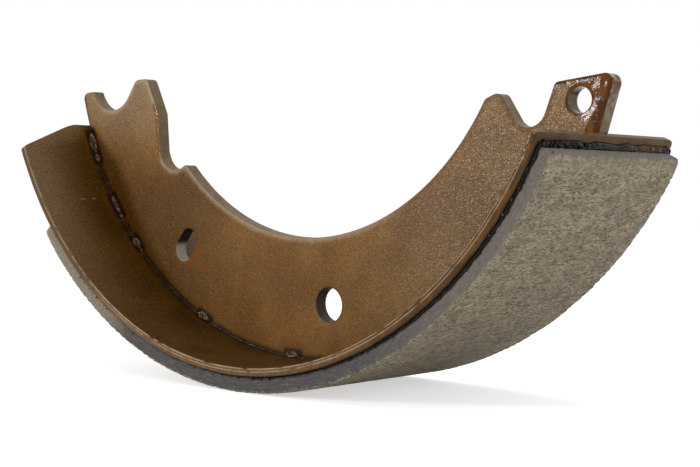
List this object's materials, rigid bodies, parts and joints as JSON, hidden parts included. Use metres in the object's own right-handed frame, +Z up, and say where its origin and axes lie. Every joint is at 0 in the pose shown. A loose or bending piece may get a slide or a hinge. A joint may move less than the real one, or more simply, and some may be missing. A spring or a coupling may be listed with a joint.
{
  "type": "drum brake shoe",
  "caption": "Drum brake shoe: a flat crescent web with a half-round notch, a U-notch and a slanted lug, welded to a curved steel rim with a friction lining glued on.",
  "frame": {"origin": "middle of the round hold-down hole, on the web's mid-plane", "axes": "+X along the shoe's chord toward the end with the slanted lug and its hole; +Y along the drum's axis, across the lining's width; +Z up, from the lining toward the drum's axis"},
  "size_m": [0.2863, 0.084, 0.127],
  "materials": {
    "web_steel": "satin",
    "rim_steel": "gloss",
    "friction_lining": "matte",
    "bond_glue": "gloss",
    "weld_metal": "gloss"
  },
  "bodies": {
    "root": {"web": "web_steel", "rim": "rim_steel", "lining": "friction_lining", "bond_film": "bond_glue", "weld_front_1": "weld_metal", "weld_front_2": "weld_metal", "weld_front_3": "weld_metal", "weld_front_4": "weld_metal", "weld_front_5": "weld_metal", "weld_front_6": "weld_metal", "weld_front_7": "weld_metal", "weld_front_8": "weld_metal", "weld_back_1": "weld_metal", "weld_back_2": "weld_metal", "weld_back_3": "weld_metal", "weld_back_4": "weld_metal", "weld_back_5": "weld_metal", "weld_back_6": "weld_metal", "weld_back_7": "weld_metal", "weld_back_8": "weld_metal"}
  },
  "joints": []
}
